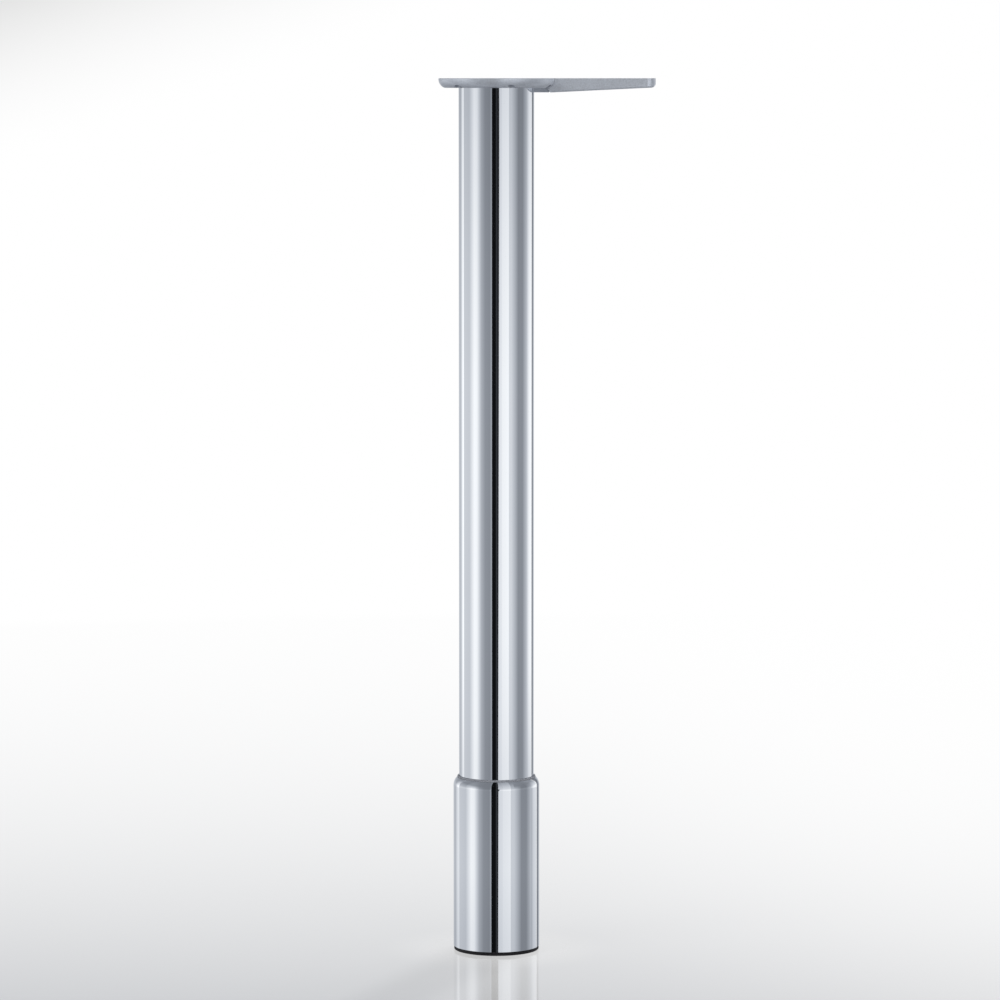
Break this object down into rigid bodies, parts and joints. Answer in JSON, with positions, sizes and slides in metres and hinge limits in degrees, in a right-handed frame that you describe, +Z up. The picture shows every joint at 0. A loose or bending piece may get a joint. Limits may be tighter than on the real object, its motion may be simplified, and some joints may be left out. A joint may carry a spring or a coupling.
{
  "type": "height adjustable table leg",
  "caption": "Chromed round table leg with an L-shaped die-cast mounting bracket and a screw-adjusted telescopic foot sleeve on a black swivel glide.",
  "frame": {"origin": "on the tube's axis, at the middle of the glide pad's underside, on the floor", "axes": "+Z up along the tube, +X and +Y along the bracket's two arms; +X is to the right in the picture and +Y points away from the camera"},
  "size_m": [0.173, 0.173, 0.7],
  "materials": {
    "silver_lacquer": "satin silver lacquer with a fine grain",
    "chrome": "polished chrome plating",
    "zinc_steel": "zinc plated",
    "bare_steel": "turned, lightly oiled",
    "nut_brass": "turned",
    "cast_metal": "as cast",
    "grey_plastic": "moulded",
    "dark_plastic": "moulded",
    "white_plastic": "moulded, self-lubricating",
    "black_plastic": "moulded"
  },
  "bodies": {
    "leg": {"mounting_bracket": "silver_lacquer", "centre_bolt": "zinc_steel", "lock_washer": "zinc_steel", "tube_top_insert": "bare_steel", "leg_tube": "chrome", "tube_end_plug": "dark_plastic", "plug_wear_ring": "white_plastic", "spindle_nut": "nut_brass", "nut_screws": "zinc_steel"},
    "glide": {"glide_pad": "black_plastic", "glide_plate": "dark_plastic", "thrust_washer": "white_plastic"},
    "foot": {"foot_sleeve": "chrome", "sleeve_guide_ring": "grey_plastic", "foot_base": "cast_metal", "threaded_spindle": "bare_steel", "clamp_washer": "zinc_steel", "pivot_screw": "zinc_steel", "end_stop_washer": "zinc_steel", "end_stop_screw": "zinc_steel"}
  },
  "joints": [
    {"name": "foot_lift", "type": "slide", "parent": "leg", "child": "glide", "axis": [0, 0, -1], "range_m": [0, 0.08]},
    {"name": "sleeve_turn", "type": "hinge", "parent": "glide", "child": "foot", "pos_m": [0, 0, 0.07], "axis": [0, 0, -1], "range_deg": [0, 7200]}
  ],
  "couplings": [
    {"joint": "foot_lift", "follows": "sleeve_turn", "m_per_rad": 0.00063662}
  ]
}
